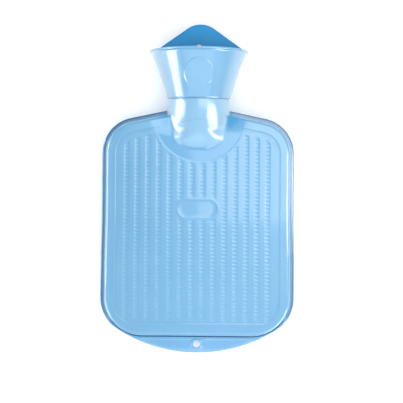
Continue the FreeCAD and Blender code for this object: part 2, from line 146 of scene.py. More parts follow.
# ------------------------------------------------------- heights of the front

COLLAR = (0.9, 55.6)
COLLAR_R = 35.2
HALF = 17.5
DRAFT = math.radians(5.0)
EDGE_R = 2.5
RIB_PITCH = 8.41
RIB_DEEP = 0.3
RIB_AT = -0.6
RUNG = 2.95
LABEL = (0.0, -15.6, 16.0, 7.4)   # blank oval place: centre, half length, half height


def wall_profile(d, half=HALF, edge=EDGE_R):
    """Height of the bladder's side over its foot, d inside the foot."""
    s, c = math.sin(DRAFT), math.cos(DRAFT)
    rise = half - edge
    dc = (edge + rise * s) / c
    d1 = dc - edge * c
    arc = rise + np.sqrt(np.clip(edge * edge - (dc - d) ** 2, 0.0, None))
    z = np.where(d < d1, d * c / s, np.where(d < dc, arc, half))
    # the smooth border leans a little towards the edge
    return z - 0.3 * np.clip((11.0 - d) / 5.5, 0.0, 1.0) ** 2 * smooth(d / 3.0)


def neck_sides(y):
    """Half width and half depth of the neck and of its round end in the bladder."""
    q = np.clip((51.0 - y) / 21.0, 0.0, 1.0)
    deep = NECK - 6.4 * np.clip((69.0 - y) / 39.0, 0.0, 1.4) ** 2
    return NECK * (1.0 - q ** 2.6) ** (1.0 / 2.6), deep


def neck_height(x, y):
    """The neck's front: round across, flatter and with a tighter rim towards its end."""
    a, b = neck_sides(y)
    p = 2.0 + 1.6 * smooth((47.0 - y) / 15.0)
    across = np.clip(np.abs(x) / np.maximum(a, 1e-6), 0.0, 1.0)
    return np.where(np.abs(x) < a, b * np.clip(1.0 - across ** p, 0.0, 1.0) ** (1.0 / p), -50.0)


def label_in(x, y):
    cx, cy, hx, hy = LABEL
    qx, qy = np.abs(x - cx) - (hx - hy), np.abs(y - cy)
    return hy - np.hypot(np.clip(qx, 0.0, None), qy)


def plain_height(x, y):
    """The bladder's front before its moulded detail: it thins towards the shoulders."""
    t = np.clip((y + 95.0) / 140.0, 0.0, 1.2)
    crown = (1.3 * np.clip(1.0 - (x / 64.0) ** 2, 0.0, None)
             * np.clip(1.0 - ((y + 30.0) / 74.0) ** 2, 0.0, None))
    rc = np.hypot(x - COLLAR[0], y - COLLAR[1])
    dish = 3.2 * smooth((y - 38.0) / 18.0) * smooth((COLLAR_R + 4.0 - rc) / 24.0)
    return HALF - 1.2 * t ** 1.6 + crown - dish


def ribs(x, y):
    """0 on the ribs, 1 in the channels between them, less on the channels' rungs."""
    t = np.abs(np.mod((x - RIB_AT) / RIB_PITCH + 0.5, 1.0) - 0.5) * RIB_PITCH
    channel = smooth((t - 1.95) / 1.2)
    channel = np.where(np.abs(x - RIB_AT) > 7.0 * RIB_PITCH, 0.0, channel)
    rung = (0.5 + 0.5 * np.cos(2.0 * math.pi * y / RUNG)) ** 1.3
    rc = np.hypot(x - COLLAR[0], y - COLLAR[1])
    room = np.minimum(np.minimum(upper_in(x, y, 0.0) - 16.2, y + 102.0),
                      np.minimum(rc - COLLAR_R - 1.0, -label_in(x, y) - 1.0))
    return channel * (1.0 - 0.62 * rung) * smooth(room / 1.2)


def front_height(x, y, silhouette=None):
    df = flange_in(x, y)
    db = bladder_in(x, y)
    # flange and tab, with a rounded edge and a raised ring round the hole; along
    # the foot of the bladder a narrow groove and a bead part it from the tab
    low = smooth((-y - 98.0) / 9.0)
    flat = 1.2 - low * (0.32 * smooth((-2.05 - db) / 0.45)
                        + 0.75 * smooth(1.0 - np.abs(db + 0.42) / 0.55)
                        - 0.38 * smooth(1.0 - np.abs(db + 1.45) / 0.65))
    rh = np.hypot(x, y + 121.2)
    flat = flat + (1.7 - flat) * smooth((4.75 - rh) / 0.6)
    flat = flat - 0.35 * (1.0 - np.sqrt(np.clip(1.0 - np.clip((3.15 - rh) / 0.42, 0, 1) ** 2, 0.0, 1.0)))
    e = np.clip(df / 1.1, 0.0, 1.0)
    zf = np.where(df >= 0.0, flat * np.sqrt(1.0 - (1.0 - e) ** 2), -50.0)
    # bladder
    cap = plain_height(x, y)
    wall = wall_profile(db)
    zb = np.where(wall > 1.2, 1.2 + (wall - 1.2) * (cap - 1.2) / (HALF - 1.2), wall)
    rc = np.hypot(x - COLLAR[0], y - COLLAR[1])
    inside = smooth((COLLAR_R + 0.5 - rc) / 1.0) * (1.0 - smooth((y - 34.0) / 12.0))
    on_panel = smooth((panel_in(x, y) + 0.45) / 0.9)
    blank = label_in(x, y)
    rim = smooth((blank + 0.6) / 0.6) * (1.0 - smooth((blank - 0.5) / 0.6))
    zb = zb - 0.17 * np.maximum(inside, on_panel) - 0.1 * inside
    zb = zb - RIB_DEEP * ribs(x, y) + 0.14 * rim
    z = soft_max(zf, zb, 0.7)
    # neck
    zn = neck_height(x, y)
    k = np.clip(np.maximum(z, zn), 0.0, 3.0)
    z = soft_max(z, zn, k)
    if silhouette is not None:
        z = np.where(silhouette, 0.0, z)
    return z


# ------------------------------------------------------- triangles for a half

class Plane:
    """Points of one half, laid out so that the neck's steep sides are spread."""

    def __init__(self, neck, side, low, high):
        self.neck, self.side = neck, side
        self.half = neck * math.pi / 2
        self.full = self.half + side - neck
        self.low, self.high = low, high

    def x_of(self, u, y):
        w = smooth((y - self.low) / (self.high - self.low))
        a = np.abs(u)
        warped = np.where(a <= self.half, self.neck * np.sin(np.minimum(a, self.half) / self.neck),
                          self.neck + a - self.half)
        return np.sign(u) * ((1.0 - w) * a * self.side / self.full + w * warped)

    def u_of(self, x, y):
        lo = np.zeros_like(x)
        hi = np.full_like(x, self.full * 1.02)
        a = np.abs(x)
        for _ in range(46):
            mid = 0.5 * (lo + hi)
            less = self.x_of(mid, y) < a
            lo = np.where(less, mid, lo)
            hi = np.where(less, hi, mid)
        return np.sign(x) * 0.5 * (lo + hi)


def arc_points(c, r, a0, a1, step):
    n = max(2, int(math.ceil(abs(a1 - a0) * r / step)) + 1)
    t = np.linspace(a0, a1, n)
    return np.stack([c[0] + r * np.cos(t), c[1] + r * np.sin(t)], 1)


def line_points(p, q, step):
    n = max(2, int(math.ceil(math.dist(p, q) / step)) + 1)
    return np.linspace(p, q, n)


def chain(*runs):
    out = [runs[0]]
    for r in runs[1:]:
        out.append(r[1:] if np.allclose(out[-1][-1], r[0], atol=1e-9) else r)
    return np.concatenate(out)


def mirrored(run):
    back = run[::-1].copy()
    back[:, 0] *= -1
    return back


def both_sides(run):
    """A run from the right of the neck down to x = 0, carried on up the left."""
    return chain(run, mirrored(run))


def side_line(x, y0, y1, step):
    """Down a straight side, at heights that neighbouring lines share."""
    ys = [v for v in np.arange(C1[1], -100.0, -step) if y1 + 0.4 * step < v < y0 - 0.4 * step]
    return np.array([(x, y) for y in [y0] + ys + [y1]])


def shoulder_run(inset, x_end, side_y, step):
    """From (x_end, shoulder) round the corner and down the side to side_y."""
    r = 28.0 - inset
    p = (C1[0] + r * math.sin(SLOPE), C1[1] + r * math.cos(SLOPE))
    q = (x_end, p[1] + (p[0] - x_end) * math.tan(SLOPE))
    n = max(2, int(round((PX - x_end) / (step * 1.2))) + 1)
    return chain(np.linspace(q, p, n), arc_points(C1, r, math.pi / 2 - SLOPE, 0.0, step * r / 28.0),
                 side_line(SIDE - inset, C1[1], side_y, step * 1.7))


def flange_run(d, step, x_end):
    return both_sides(chain(
        shoulder_run(d, x_end, C2[1], step),
        arc_points(C2, 28.0 - d, 0.0, TURN, step * (28.0 - d) / 28.0),
        arc_points(C3, R3 - d, TURN, -math.pi / 2, step * 1.2 * (R3 - d) / R3)))


def bladder_run(d, step, x_end):
    return both_sides(chain(
        shoulder_run(EDGE + d, x_end, C4[1], step),
        arc_points(C4, 30.0 - d, 0.0, -math.pi / 2, step * (30.0 - d) / 30.0),
        line_points((C4[0], LOW + d), (0.0, LOW + d), step * 1.4)))


def panel_run(d, step, x_end):
    cx, cy = PANEL_SIDE - PANEL_R, PANEL_LOW + PANEL_R
    return both_sides(chain(
        shoulder_run(SIDE - PANEL_SIDE + d, x_end, cy, step),
        arc_points((cx, cy), PANEL_R - d, 0.0, -math.pi / 2, step * (PANEL_R - d) / PANEL_R),
        line_points((cx, PANEL_LOW + d), (0.0, PANEL_LOW + d), step * 1.4)))


def circle_run(c, r, a0, a1, step):
    return arc_points(c, r, a0, a1, step)


def inside_loop(points, loop):
    """Which points lie inside a closed loop, by crossings."""
    x, y = points[:, 0], points[:, 1]
    hit = np.zeros(len(points), bool)
    a, b = loop, np.roll(loop, -1, 0)
    for (x0, y0), (x1, y1) in zip(a, b):
        if y0 == y1:
            continue
        cross = (y0 > y) != (y1 > y)
        hit ^= cross & (x < (x1 - x0) * (y - y0) / (y1 - y0) + x0)
    return hit


def thin_out(free, kept, reach):
    """The free points that keep clear of the kept ones."""
    cell = reach / 1.5
    size = (int(170 / cell) + 4, int(210 / cell) + 4)
    taken = np.zeros(size, bool)
    at = np.floor((kept + [85.0, 135.0]) / cell).astype(int)
    for i in (-1, 0, 1):
        for j in (-1, 0, 1):
            taken[np.clip(at[:, 0] + i, 0, size[0] - 1), np.clip(at[:, 1] + j, 0, size[1] - 1)] = True
    f = np.floor((free + [85.0, 135.0]) / cell).astype(int)
    return free[~taken[np.clip(f[:, 0], 0, size[0] - 1), np.clip(f[:, 1], 0, size[1] - 1)]]


def dense(run, step=0.3):
    out = []
    for p, q in zip(run[:-1], run[1:]):
        out.append(line_points(p, q, step))
    return np.concatenate(out)


def triangulate(plane, loops, runs, free):
    """Flat triangles of the space inside loops[0] and outside the other loops.

    Returns the points, the triangles and, for each loop, its points' indices."""
    points, edges, loop_at = [], [], []
    for loop in loops:
        start = sum(len(p) for p in points)
        points.append(loop)
        loop_at.append(list(range(start, start + len(loop))))
        edges += [(start + i, start + (i + 1) % len(loop)) for i in range(len(loop))]
    for run in runs:
        start = sum(len(p) for p in points)
        points.append(run)
        edges += [(start + i, start + i + 1) for i in range(len(run) - 1)]
    points.append(free)
    xy = np.concatenate(points)
    u = plane.u_of(xy[:, 0], xy[:, 1])
    flat = [Vector((float(a), float(b))) for a, b in zip(u, xy[:, 1])]
    out = delaunay_2d_cdt(flat, edges, [], 0, 1e-6, True)
    uy = np.array([tuple(v) for v in out[0]], float)
    new = np.empty((len(uy), 2))
    new[:, 1] = uy[:, 1]
    new[:, 0] = plane.x_of(uy[:, 0], uy[:, 1])
    to_new = {}
    for i, origs in enumerate(out[3]):
        for o in origs:
            to_new[o] = i
        if origs:
            new[i] = xy[origs[0]]
    tris = np.array([f for f in out[2] if len(f) == 3], int)
    mid = uy[tris].mean(1)
    keep = np.ones(len(tris), bool)
    for n, loop in enumerate(loops):
        lu = np.stack([plane.u_of(loop[:, 0], loop[:, 1]), loop[:, 1]], 1)
        within = inside_loop(mid, lu)
        keep &= within if n == 0 else ~within
    tris = tris[keep]
    # anticlockwise, so that the front faces out
    p = uy[tris]
    area = ((p[:, 1, 0] - p[:, 0, 0]) * (p[:, 2, 1] - p[:, 0, 1])
            - (p[:, 2, 0] - p[:, 0, 0]) * (p[:, 1, 1] - p[:, 0, 1]))
    tris[area < 0] = tris[area < 0][:, ::-1]
    used = np.unique(tris)
    where = np.full(len(new), -1)
    where[used] = np.arange(len(used))
    return new[used], where[tris], [[int(where[to_new[i]]) for i in at] for at in loop_at]


# Angles round the neck and funnel, from the front: closer together there.
COLUMNS = np.radians(np.concatenate([np.arange(0, 30, 1.0), np.arange(30, 90.01, 2.0)]))
COLUMNS = np.concatenate([-COLUMNS[:0:-1], COLUMNS])      # -90 to 90 degrees


def outer_half():
    plane = Plane(NECK, SIDE, 16.0, 42.0)
    rim = flange_run(0.0, 1.5, NECK)
    top = np.stack([NECK * np.sin(COLUMNS), np.full(len(COLUMNS), TOP)], 1)
    side_up = line_points((NECK, MEET), (NECK, TOP), 0.7)[1:-1]
    # clockwise from the left end of the neck's top, across, down and round
    loop = np.concatenate([top, side_up[::-1], rim, mirrored(side_up[::-1])])
    hole = circle_run((0.0, -121.2), 2.73, 0.0, 2 * math.pi, 0.42)[:-1]
    runs = []
    for d in (0.06, 0.22, 0.5, 0.9):
        runs.append(flange_run(d, 1.5, NECK + 0.6))
    for d in (-0.12, 0.06, 0.2, 0.75, 1.28, 1.4, 1.62, 1.85, 2.1, 2.4, 2.75, 3.2, 3.75, 4.6, 6.0, 8.2):
        runs.append(bladder_run(d, 1.5, NECK + 0.6))
    for d in (-0.25, -0.42, -0.62, -0.85, -1.1, -1.45, -1.8, -2.05, -2.3, -2.6):
        run = bladder_run(d, 1.5, NECK + 0.6)
        part = run[(run[:, 1] < -100.0) & (flange_in(run[:, 0], run[:, 1]) > 1.05)]
        runs.append(part)
    for d in (-0.5, -0.25, 0.0, 0.25, 0.5):
        runs.append(panel_run(d, 1.5, 35.0))
    for r in (-0.5, -0.25, 0.0, 0.25, 0.5):
        run = circle_run(COLLAR, COLLAR_R + r, math.radians(180 - 6), math.radians(360 + 6), 1.1)
        runs.append(run[bladder_in(run[:, 0], run[:, 1]) > 2.2])
    for r in (2.85, 3.0, 3.2, 4.1, 4.35, 4.6, 4.8):
        closed = circle_run((0.0, -121.2), r, 0.0, 2 * math.pi, 0.55)
        closed[-1] = closed[0]
        runs.append(closed)
    cx, cy, hx, hy = LABEL
    for d in (-0.65, -0.3, 0.0, 0.5, 0.8, 1.1):
        r = hy - d
        closed = chain(arc_points((cx + hx - hy, cy), r, -math.pi / 2, math.pi / 2, 0.8),
                       line_points((cx + hx - hy, cy + r), (cx - hx + hy, cy + r), 0.9),
                       arc_points((cx - hx + hy, cy), r, math.pi / 2, 3 * math.pi / 2, 0.8),
                       line_points((cx - hx + hy, cy - r), (cx + hx - hy, cy - r), 0.9))
        closed[-1] = closed[0]
        runs.append(closed)
    kept = np.concatenate([dense(r) for r in runs] + [dense(np.concatenate([loop, loop[:1]])),
                                                       dense(np.concatenate([hole, hole[:1]]))])
    # the ribbed panel: close columns in the channels, open ones on the ribs
    fine, open_ = [], []
    for i in range(-7, 8):
        at = RIB_AT + i * RIB_PITCH
        for t in (-1.7, 0.0, 1.7):
            ys = np.arange(-102.4, 46.0, RUNG / 2)
            open_.append(np.stack([np.full(len(ys), at + t), ys], 1))
        if i < 7:
            for t in (2.15, 2.85, 3.6, RIB_PITCH - 3.6, RIB_PITCH - 2.85, RIB_PITCH - 2.15):
                ys = np.arange(-102.4, 46.0, RUNG / 5)
                fine.append(np.stack([np.full(len(ys), at + t), ys], 1))
    grid = np.concatenate(fine + open_)
    rc = np.hypot(grid[:, 0] - COLLAR[0], grid[:, 1] - COLLAR[1])
    grid = grid[(upper_in(grid[:, 0], grid[:, 1], 0.0) > 15.6) & (rc > COLLAR_R + 0.7)
                & (label_in(grid[:, 0], grid[:, 1]) < -0.8)]
    # the collar and the tongue, evenly over the neck's own surface
    us = np.arange(-60.0, 60.01, 1.05)
    ys = np.arange(19.0, TOP - 0.4, 1.0)
    uu, yy = [m.ravel() for m in np.meshgrid(us, ys)]
    xx = plane.x_of(uu, yy)
    rc = np.hypot(xx - COLLAR[0], yy - COLLAR[1])
    neck = np.stack([xx, yy], 1)[rc < COLLAR_R - 0.8]
    # what is left: the smooth border, the label's place and the tab
    xs, ys = np.arange(-76, 76.1, 2.3), np.arange(-128, 58, 2.3)
    xx, yy = [m.ravel() for m in np.meshgrid(xs, ys)]
    wide = np.stack([xx, yy], 1)
    rc = np.hypot(xx - COLLAR[0], yy - COLLAR[1])
    wide = wide[(rc > COLLAR_R + 1.0) & (bladder_in(xx, yy) > 10.2) | (flange_in(xx, yy) > 1.8) & (yy < -117.6)]
    wide = thin_out(wide, grid, 1.3)
    free = np.concatenate([thin_out(wide, kept, 1.0), thin_out(grid, kept, 0.36), thin_out(neck, kept, 0.5)])
    free = free[inside_loop(free, loop) & (np.hypot(free[:, 0], free[:, 1] + 121.2) > 3.3)]
    return triangulate(plane, [loop, hole], runs, free)


def join_halves(points, tris, edge, height):
    """Front and mirrored back of one half, sharing the points of its edge."""
    on_edge = np.zeros(len(points), bool)
    on_edge[edge] = True
    tris = tris[~on_edge[tris].all(1)]
    z = height(points[:, 0], points[:, 1], on_edge)
    front = np.column_stack([points, z])
    back_at = np.full(len(points), -1)
    back_at[on_edge] = np.nonzero(on_edge)[0]
    free = np.nonzero(~on_edge)[0]
    back_at[free] = len(points) + np.arange(len(free))
    back = front[free].copy()
    back[:, 2] *= -1
    return np.concatenate([front, back]), np.concatenate([tris, back_at[tris][:, ::-1]]), back_at


verts, faces = [], []


def put(points, polys):
    start = sum(len(v) for v in verts)
    verts.append(np.asarray(points, float))
    faces.extend([tuple(int(i) + start for i in f) for f in polys])
    return start


# ------------------------------------------------------------ bottle, outside

points, tris, loops = outer_half()
n_top = len(COLUMNS)
# the row across the neck is shared with the funnel, so only its ends are on the seam
edge = [loops[0][0]] + loops[0][n_top - 1:]
body, body_tris, back_at = join_halves(points, tris, edge, front_height)
outer_at = put(body, body_tris)
front_row = [outer_at + i for i in loops[0][:n_top]]
back_row = [outer_at + int(back_at[i]) for i in loops[0][:n_top]]

# the wall of the hanging hole, front to back
hole_front = [outer_at + i for i in loops[1]]
hole_back = [outer_at + int(back_at[i]) for i in loops[1]]
hole_xy = points[loops[1]]
hole_z = body[loops[1], 2]
rows = [hole_front]
for share in (0.6, 0.0, -0.6):
    ring = np.column_stack([hole_xy, hole_z * share])
    at = put(ring, [])
    rows.append(list(range(at, at + len(ring))))
rows.append(hole_back)
for r0, r1 in zip(rows[:-1], rows[1:]):
    n = len(r0)
    faces.extend([(r0[i], r0[(i + 1) % n], r1[(i + 1) % n], r1[i]) for i in range(n)])

# ------------------------------------------------------- neck line and funnel

RING = (0.0, 87.9, 10.5)          # plain moulded ring on the funnel: centre, radius
ROUND = np.concatenate([COLUMNS, COLUMNS[1:-1] + math.pi])    # -90 to 268 degrees


def ring_points(y, a, b, proud=None):
    """One turn round the axis: half width a, half depth b."""
    x, z = a * np.sin(ROUND), b * np.cos(ROUND)
    out = np.column_stack([x, np.full(len(x), y), z])
    if proud is not None:
        lift = proud(x, y, z)
        out[:, 0] += np.sin(ROUND) * lift
        out[:, 2] += np.cos(ROUND) * lift
    return out


def ring_mark(x, y, z):
    """A low rounded ridge on the front only."""
    r = np.hypot(x, y - RING[1])
    t = np.clip(1.0 - np.abs(r - RING[2]) / 0.75, 0.0, 1.0)
    disc = 0.12 * smooth((RING[2] - r) / 0.8)
    return np.where(z > 0, 0.32 * smooth(t) + disc, 0.0)


def cone_out(y):
    t = np.clip((y - 70.4) / (104.0 - 70.4), 0.0, 1.0)
    return 24.85 + (36.75 - 24.85) * t - 0.25 * np.sin(math.pi * t)


profile = []
for y in np.arange(63.1, 68.0, 1.05):
    a, b = neck_sides(y)
    profile.append((y, float(a), float(b)))
a, b = (float(v) for v in neck_sides(68.5))
profile += [(68.3, a, b), (68.55, a - 0.06, b - 0.06), (68.85, a - 0.32, b - 0.32), (69.2, a - 0.46, b - 0.46),
            (69.5, a - 0.40, b - 0.40), (69.75, a - 0.14, b - 0.14), (70.0, a + 0.08, b + 0.08),
            (70.3, a + 0.22, b + 0.22), (70.7, 24.95, 24.95)]
for y in np.concatenate([np.arange(71.7, 78.3, 1.1), np.arange(79.0, 101.6, 0.6), [102.4, 103.2]]):
    r = float(cone_out(y))
    profile.append((float(y), r, r))
profile.append((104.0, 36.75, 36.75))
profile += [(104.7, 37.08, 37.08), (105.1, 37.5, 37.5)]
for t in np.radians([-40, -15, 10, 35, 60, 90]):
    r = 37.9 + 0.94 * math.cos(t)
    profile.append((106.1 + 0.94 * math.sin(t), r, r))
for t in np.radians([30, 60, 90]):
    r = 36.5 - 0.62 * math.sin(t)
    profile.append((106.42 + 0.62 * math.cos(t), r, r))
inner = [(105.4, 35.2), (104.0, 34.42), (101.0, 33.35), (96.0, 31.56), (90.0, 29.42), (84.0, 27.28), (78.0, 25.13),
         (74.0, 23.7), (71.9, 22.95), (70.4, 21.75), (69.0, 20.6), (65.5, 20.6), (65.5, 21.4), (63.0, 21.4),
         (63.0, 20.6), (57.5, 20.6), (57.5, 21.4), (55.0, 21.4), (55.0, 20.6), (52.0, 20.6)]
profile += [(y, r, r) for y, r in inner]

# first turn: the row that the two halves end in, as one loop
loop = front_row + back_row[-2:0:-1]
for n, (y, a, b) in enumerate(profile):
    marked = ring_mark if 78.0 < y < 103.0 and n < len(profile) - len(inner) else None
    at = put(ring_points(y, a, b, marked), [])
    row = list(range(at, at + len(ROUND)))
    m = len(row)
    faces.extend([(loop[i], loop[(i + 1) % m], row[(i + 1) % m], row[i]) for i in range(m)])
    loop = row
seat_row = loop

# ------------------------------------------------------------- bottle, inside

IN_TOP, IN_NECK, IN_WALL = 52.0, 21.37, 2.0


def inner_height(x, y, silhouette=None):
    db = bladder_in(x, y) - IN_WALL
    wall = wall_profile(db, HALF - IN_WALL, 6.0)
    cap = plain_height(x, y) - 3.2
    zb = wall * np.minimum(cap / (HALF - IN_WALL), 1.0)
    q = np.clip((44.0 - y) / 14.0, 0.0, 1.0)
    end = np.sqrt(1.0 - q * q)
    bulge = np.sqrt(22.2 ** 2 - np.clip(y - 46.0, 0.0, None) ** 2) - 22.2
    a = (22.2 + bulge) * end
    b = np.minimum((22.2 + bulge) * end, neck_sides(y)[1] - 2.0)
    zn = np.where(np.abs(x) < a, b * np.sqrt(np.clip(1.0 - (x / np.maximum(a, 1e-6)) ** 2, 0.0, 1.0)), -50.0)
    z = np.maximum(zb, zn)
    if silhouette is not None:
        z = np.where(silhouette, 0.0, z)
    return z


def inner_half():
    inset = EDGE + IN_WALL
    plane = Plane(IN_NECK, SIDE - inset, 16.0, 40.0)
    top = np.stack([IN_NECK * np.sin(COLUMNS), np.full(len(COLUMNS), IN_TOP)], 1)
    # where the inner shoulder meets the neck's hollow at its side
    r = 28.0 - inset
    p = (C1[0] + r * math.sin(SLOPE), C1[1] + r * math.cos(SLOPE))
    y = p[1]
    for _ in range(30):
        x_in = math.sqrt(22.2 ** 2 - max(y - 46.0, 0.0) ** 2)
        y = p[1] + (p[0] - x_in) * math.tan(SLOPE)
        if y > IN_TOP:
            y = IN_TOP
            break
    x_at = p[0] - (IN_TOP - p[1]) / math.tan(SLOPE) if y >= IN_TOP else x_in
    return plane, top, x_at, y, p, r, inset


plane, top, x_at, y_at, p, r, inset = inner_half()
x_join = max(x_at, IN_NECK + 0.6)
y_join = min(p[1] + (p[0] - x_join) * math.tan(SLOPE), IN_TOP - 0.25)


def inner_run(d, step):
    rr = r - d
    pp = (C1[0] + rr * math.sin(SLOPE), C1[1] + rr * math.cos(SLOPE))
    return both_sides(chain(
        line_points((x_join, min(pp[1] + (pp[0] - x_join) * math.tan(SLOPE), IN_TOP - 0.25 - d)), pp, step),
        arc_points(C1, rr, math.pi / 2 - SLOPE, 0.0, step),
        line_points((SIDE - inset - d, C1[1]), (SIDE - inset - d, C4[1]), step * 1.7),
        arc_points(C4, 30.0 - IN_WALL - d, 0.0, -math.pi / 2, step),
        line_points((C4[0], LOW + IN_WALL + d), (0.0, LOW + IN_WALL + d), step)))


rim = inner_run(0.0, 3.0)
loop_in = np.concatenate([top, rim])
xs, ys = np.arange(-70, 70.1, 4.0), np.arange(-112, 51.5, 4.0)
xx, yy = [m.ravel() for m in np.meshgrid(xs, ys)]
free = np.stack([xx, yy], 1)
runs_in = [inner_run(d, 3.2) for d in (0.8, 1.7, 3.2, 5.2, 7.4)]
us, ys = np.arange(-33.0, 33.01, 2.6), np.arange(30.0, 50.5, 2.6)
uu, yy = [m.ravel() for m in np.meshgrid(us, ys)]
neck_free = np.stack([plane.x_of(uu, yy), yy], 1)
free = np.concatenate([free[(np.hypot(free[:, 0], np.clip(48.0 - free[:, 1], 0, None)) > 23.5)], neck_free])
kept = np.concatenate([dense(q) for q in runs_in] + [dense(np.concatenate([loop_in, loop_in[:1]]))])
free = thin_out(free, kept, 1.2)
free = free[inside_loop(free, loop_in)]
points_in, tris_in, loops_in = triangulate(plane, [loop_in], runs_in, free)
edge_in = [loops_in[0][0]] + loops_in[0][n_top - 1:]
cave, cave_tris, cave_back = join_halves(points_in, tris_in, edge_in, inner_height)
cave_at = put(cave, cave_tris[:, ::-1])
in_front = [cave_at + i for i in loops_in[0][:n_top]]
in_back = [cave_at + int(cave_back[i]) for i in loops_in[0][:n_top]]
cave_loop = in_front + in_back[-2:0:-1]
m = len(cave_loop)
faces.extend([(seat_row[i], seat_row[(i + 1) % m], cave_loop[(i + 1) % m], cave_loop[i]) for i in range(m)])

coords = np.concatenate(verts)
coords[:, 2][np.abs(coords[:, 2]) < 1e-12] = 0.0


def waist(x, y):
    """The sides stand a little closer together over most of the length."""
    return 1.0 - 0.0095 * smooth((y + 72.0) / 60.0) * smooth((np.abs(x) - 28.0) / 30.0)


coords[:, 0] *= waist(coords[:, 0], coords[:, 1])
mesh = bpy.data.meshes.new("bottle_moulding")
mesh.from_pydata(lay(coords).tolist(), [], faces)
mesh.validate()

import bmesh  # noqa: E402

bm = bmesh.new()
bm.from_mesh(mesh)
bmesh.ops.dissolve_degenerate(bm, dist=1e-7, edges=bm.edges)
bmesh.ops.recalc_face_normals(bm, faces=bm.faces)
open_edges = sum(1 for e in bm.edges if len(e.link_faces) != 2)
print("bottle: %d points, %d triangles, %d open edges" % (
    len(bm.verts), sum(len(f.verts) - 2 for f in bm.faces), open_edges))
bm.to_mesh(mesh)
bm.free()
mesh.shade_smooth()


def seam_shade_amount(p):
    """Painted shade: how much darker and deeper the blue is made where shade falls, in the seam,
    in the groove over the tab, along the panel's line, in the line round the neck and towards the left side."""
    x, y, z = p[:, 0], p[:, 1], np.abs(p[:, 2])
    df, db = flange_in(x, y), bladder_in(x, y)
    low = smooth((-y - 98.0) / 9.0)
    body = y < TOP - 0.5
    # each term below is painted shade: darker blue in the seam, the groove and step over the tab, the panel's line
    # and the neck's line
    seam = (1.0 - smooth((z - 1.2) / 3.5)) * smooth((1.6 - df) / 0.6) * (1.0 - smooth((-y - 104.0) / 6.0))
    seam = np.where(body & (np.abs(x) > NECK), 0.92 * seam, 0.0)
    groove = np.where(body, low * smooth(1.25 - np.abs(db + 0.35) / 0.7) * (z < 3.0), 0.0)
    step = np.where(body, 0.25 * low * smooth(1.0 - np.abs(db + 2.2) / 0.4) * (z < 3.0), 0.0)
    line = np.where(body & (z > 5.0), 0.2 * smooth(1.0 - np.abs(panel_in(x, y) - 0.4) / 0.7), 0.0)
    neck = 0.75 * smooth(1.0 - np.abs(y - 69.1) / 0.75)
    # painted shade: the body's left side made a little darker, as if less lit
    side = 0.11 * smooth((-x - 5.0) / 50.0) * smooth((62.0 - y) / 40.0) * smooth((70.5 + x) / 6.0)
    return np.clip(np.maximum.reduce([seam, groove, step, line, neck, side]), 0.0, 1.0)


def dish_shade_amount(p):
    """Painted shade: how much darker and deeper the blue is made in the dish beside the neck and on the collar below
    it.
    """
    x, y, z = p[:, 0], p[:, 1], np.abs(p[:, 2])
    rc = np.hypot(x - COLLAR[0], y - COLLAR[1])
    dish = (smooth((y - 36.0) / 16.0) * smooth((np.abs(x) - 20.0) / 4.0)
            * smooth((COLLAR_R + 4.0 - rc) / 14.0) * smooth((17.5 - z) / 3.0))
    collar = 0.42 * smooth((COLLAR_R + 0.5 - rc) / 1.0) * smooth((18.4 - z) / 1.2)
    neck = smooth((2.6 - np.abs(z - neck_height(x, y))) / 1.8)
    return np.where(y < TOP - 0.5, np.maximum(dish, collar) * (1.0 - neck), 0.0)


def sheen_amount(p):
    """Painted sheen: how much paler the wall is made where it turns away from view at the sides
    of the neck and the funnel, standing in for the pale reflection there."""
    x, y, z = p[:, 0], p[:, 1], p[:, 2]
    r = np.where(y < 69.5, NECK, cone_out(y))
    t = np.abs(x) / r
    low = smooth((2.6 - np.abs(np.abs(z) - neck_height(x, y))) / 1.8)
    high = (np.abs(np.hypot(x, z) - r) < 1.6) * 1.0
    neck = (0.27 + 0.33 * smooth((t - 0.42) / 0.3)) * smooth((y - 28.0) / 12.0)
    funnel = 0.44 * smooth((t - 0.6) / 0.28)
    return np.where(y < TOP + 0.5, neck * low, np.where(y < 69.5, neck, funnel) * high)


own = np.empty(len(mesh.vertices) * 3)
mesh.vertices.foreach_get("co", own)
own = own.reshape(-1, 3) * 1000.0 - np.array(SHIFT)
c_, s_ = math.cos(LEAN), math.sin(LEAN)
own = np.column_stack([own[:, 0], own[:, 1] * c_ + own[:, 2] * s_, own[:, 2] * c_ - own[:, 1] * s_])
own[:, 0] /= waist(own[:, 0] * 1.006, own[:, 1])
# painted shade in the seams, grooves and lines and on the left side, kept as a point attribute
mesh.attributes.new("painted_shade", "FLOAT", "POINT").data.foreach_set("value", seam_shade_amount(own).astype(np.float32))
# painted shade in the dish beside the neck and on the collar, kept as a point attribute
mesh.attributes.new("painted_dish_shade", "FLOAT", "POINT").data.foreach_set("value", dish_shade_amount(own).astype(np.float32))
# painted sheen: paler flanks of the neck and funnel, kept as a point attribute
mesh.attributes.new("painted_sheen", "FLOAT", "POINT").data.foreach_set("value", sheen_amount(own).astype(np.float32))
bottle = bpy.data.objects.new("bottle_moulding", mesh)
bpy.context.scene.collection.objects.link(bottle)
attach(bottle, "bottle")
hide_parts("bottle")

# ------------------------------------------------------------------ materials


